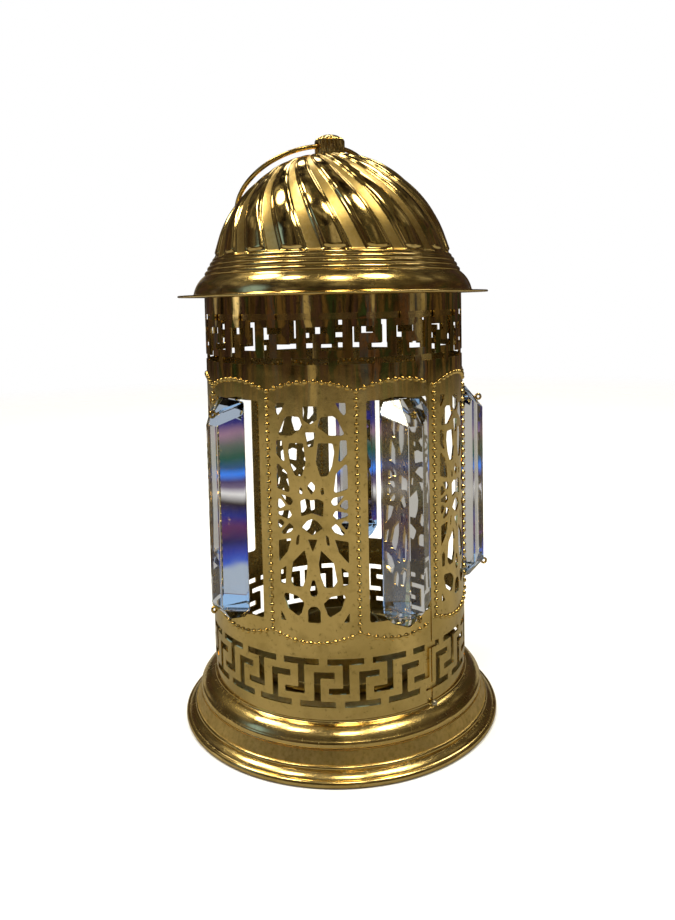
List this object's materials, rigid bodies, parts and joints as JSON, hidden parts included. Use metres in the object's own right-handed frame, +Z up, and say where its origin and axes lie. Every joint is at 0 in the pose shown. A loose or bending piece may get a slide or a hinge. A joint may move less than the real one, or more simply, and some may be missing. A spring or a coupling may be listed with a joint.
{
  "type": "candle lantern",
  "caption": "Round pierced brass candle lantern with cut crystal bars over its windows, a spun foot, a lift-off swirl-domed lid and a wire carrying ring.",
  "frame": {"origin": "centre of the foot's underside, on the surface that the lantern stands on", "axes": "+Z up along the lantern's axis; -Y is the front, with a pierced panel just left of the middle; +X to the right"},
  "size_m": [0.164, 0.164, 0.2978],
  "materials": {
    "polished_brass": "polished",
    "sheet_brass": "polished, lightly tarnished",
    "satin_brass": "satin",
    "wire_brass": "polished",
    "hardware_brass": "satin",
    "solder": "as cast",
    "crystal": "clear, polished facets"
  },
  "bodies": {
    "lantern": {"foot": "polished_brass", "lower_frieze": "sheet_brass", "upper_frieze": "sheet_brass", "pierced_panel_1": "sheet_brass", "pierced_panel_2": "sheet_brass", "pierced_panel_3": "sheet_brass", "pierced_panel_4": "sheet_brass", "pierced_panel_5": "sheet_brass", "seam_strip_lower": "sheet_brass", "seam_strip_upper": "sheet_brass", "solder_bead": "solder", "floor_plate": "satin_brass", "drip_pan": "satin_brass", "candle_cup": "satin_brass", "cup_washer": "hardware_brass", "cup_nut": "hardware_brass", "crystal_1": "crystal", "crystal_2": "crystal", "crystal_3": "crystal", "crystal_4": "crystal", "crystal_5": "crystal", "top_eye_pins": "wire_brass", "bottom_eye_pins": "wire_brass"},
    "lid": {"lid_rim": "polished_brass", "lid_collar": "satin_brass", "lid_dome": "polished_brass", "finial_knob": "polished_brass", "finial_stud": "hardware_brass", "finial_washer": "hardware_brass", "finial_nut": "hardware_brass"},
    "ring_handle": {"ring_handle": "wire_brass"}
  },
  "joints": [
    {"name": "lid_lift", "type": "slide", "parent": "lantern", "child": "lid", "axis": [0, 0, 1], "range_m": [0, 0.12]},
    {"name": "ring_swing", "type": "hinge", "parent": "lid", "child": "ring_handle", "pos_m": [0, 0, 0.2919], "axis": [0.8746, 0.4848, 0], "range_deg": [0, 252]}
  ]
}
